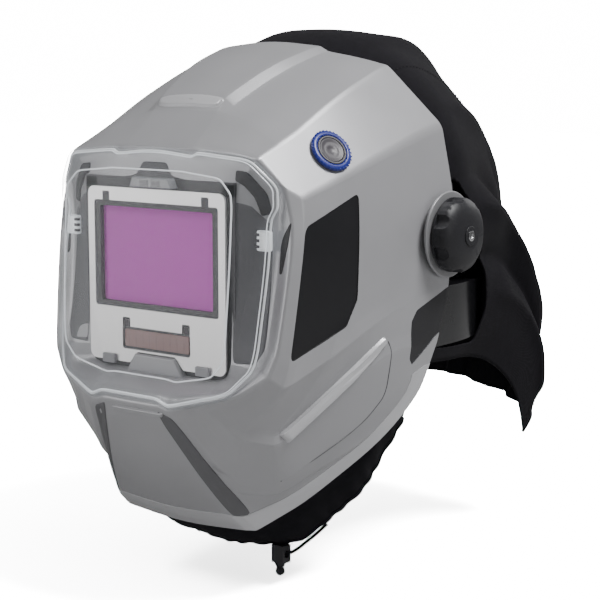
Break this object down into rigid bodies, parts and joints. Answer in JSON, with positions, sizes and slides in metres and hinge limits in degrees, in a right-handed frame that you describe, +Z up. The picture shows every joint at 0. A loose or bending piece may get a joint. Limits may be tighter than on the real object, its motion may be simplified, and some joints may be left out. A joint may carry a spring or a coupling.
{
  "type": "powered air respirator head top",
  "caption": "Welding helmet head top of a powered air respirator: tilting shell with dark filter, headband, air ducts to a rear inlet, cloth hood and face seal.",
  "frame": {"origin": "midway between the two head pivots, on the pivot axis", "axes": "+Z up, the wearer looks along -Y, the wearer's left is +X"},
  "size_m": [0.2722, 0.3461, 0.3607],
  "materials": {
    "shell_silver": "satin silver-grey paint on moulded nylon",
    "clear_cover": "clear polycarbonate",
    "latch_clear": "translucent grey plastic",
    "cartridge_grey": "dark grey moulded plastic",
    "plate_satin": "satin silver plate",
    "filter_purple": "purple coated filter glass",
    "solar_brown": "brown photovoltaic cell under glass",
    "sensor_black": "black sensor glass",
    "clip_grey": "grey moulded plastic",
    "board_green": "solder mask",
    "cell_steel": "nickel plated",
    "window_black": "near-black tinted lens",
    "trim_black": "black moulded plastic",
    "duct_black": "glossy black moulded plastic",
    "button_grey": "dark grey moulded plastic",
    "ring_blue": "blue moulded plastic",
    "boss_silver": "satin silver",
    "spring_steel": "bright steel",
    "washer_nylon": "natural nylon",
    "harness_black": "black polypropylene",
    "pad_grey": "soft cloth over foam",
    "seal_rubber": "black rubber",
    "shroud_black": "black woven flame-resistant cloth",
    "cord_black": "black braided cord"
  },
  "bodies": {
    "headgear": {"pivot_stud_left": "spring_steel", "pivot_stud_right": "spring_steel", "friction_washers": "washer_nylon", "pivot_plate_left": "harness_black", "pivot_plate_right": "harness_black", "headband": "harness_black", "brow_pad": "pad_grey", "crown_straps": "harness_black", "air_manifold": "duct_black", "inlet_seal": "seal_rubber", "air_duct_left": "duct_black", "air_duct_right": "duct_black", "air_outlet_left": "trim_black", "air_outlet_right": "trim_black", "duct_screws": "spring_steel"},
    "rear_cradle_slide": {"rear_cradle": "harness_black", "rear_pad": "pad_grey", "ratchet_housing": "trim_black"},
    "ratchet": {"ratchet_knob": "trim_black"},
    "helmet": {"shell": "shell_silver", "front_cover_lens": "clear_cover", "cover_latch": "latch_clear", "filter_housing": "cartridge_grey", "filter_bezel": "cartridge_grey", "face_plate": "plate_satin", "filter_glass": "filter_purple", "solar_cell": "solar_brown", "arc_sensors": "sensor_black", "retaining_clips": "clip_grey", "inner_cover_plate": "clear_cover", "circuit_board": "board_green", "batteries": "cell_steel", "side_window_left": "window_black", "side_window_right": "window_black", "rear_trim_left": "trim_black", "rear_trim_right": "trim_black", "button_collar": "button_grey", "button_ring": "ring_blue", "button_spring": "spring_steel", "pivot_boss_left": "boss_silver", "pivot_boss_right": "boss_silver", "shroud_strip": "harness_black", "shroud": "shroud_black", "face_seal": "shroud_black", "drawstring": "cord_black", "cord_lock": "trim_black", "cord_end": "trim_black"},
    "grind_cap": {"grind_button": "button_grey"},
    "power_key": {"button_power": "button_grey"},
    "mode_key": {"button_mode": "button_grey"},
    "up_key": {"button_up": "button_grey"},
    "knob_left_turn": {"knob_left": "trim_black", "knob_cap_left": "trim_black"},
    "knob_right_turn": {"knob_right": "trim_black", "knob_cap_right": "trim_black"},
    "lock_plunger": {"cord_lock_plunger": "trim_black"}
  },
  "joints": [
    {"name": "helmet_tilt", "type": "hinge", "parent": "headgear", "child": "helmet", "pos_m": [0, 0, 0], "axis": [-1, 0, 0], "range_deg": [0, 65], "deforming": ["shroud"]},
    {"name": "knob_left_turn", "type": "hinge", "parent": "headgear", "child": "knob_left_turn", "pos_m": [0.125, 0, 0], "axis": [1, 0, 0], "continuous": true},
    {"name": "knob_right_turn", "type": "hinge", "parent": "headgear", "child": "knob_right_turn", "pos_m": [-0.125, 0, 0], "axis": [1, 0, 0], "continuous": true},
    {"name": "ratchet_turn", "type": "hinge", "parent": "rear_cradle_slide", "child": "ratchet", "pos_m": [0, 0.12, 0.033], "axis": [0, 1, 0], "range_deg": [0, 300]},
    {"name": "cradle_slide", "type": "slide", "parent": "headgear", "child": "rear_cradle_slide", "axis": [0, -1, 0], "range_m": [0, 0.014]},
    {"name": "grind_press", "type": "slide", "parent": "helmet", "child": "grind_cap", "axis": [-0.803, 0.25, -0.541], "range_m": [0, 0.002], "stiffness_N_per_m": 400, "deforming": ["button_spring"]},
    {"name": "power_press", "type": "slide", "parent": "helmet", "child": "power_key", "axis": [0, -1, 0], "range_m": [0, 0.0008], "stiffness_N_per_m": 300},
    {"name": "mode_press", "type": "slide", "parent": "helmet", "child": "mode_key", "axis": [0, -1, 0], "range_m": [0, 0.0008], "stiffness_N_per_m": 300},
    {"name": "up_press", "type": "slide", "parent": "helmet", "child": "up_key", "axis": [0, -1, 0], "range_m": [0, 0.0008], "stiffness_N_per_m": 300},
    {"name": "lock_squeeze", "type": "slide", "parent": "helmet", "child": "lock_plunger", "axis": [0, 0, 1], "range_m": [0, 0.0015], "stiffness_N_per_m": 300}
  ],
  "couplings": [
    {"joint": "ratchet_turn", "follows": "cradle_slide", "rad_per_m": 373.99}
  ]
}
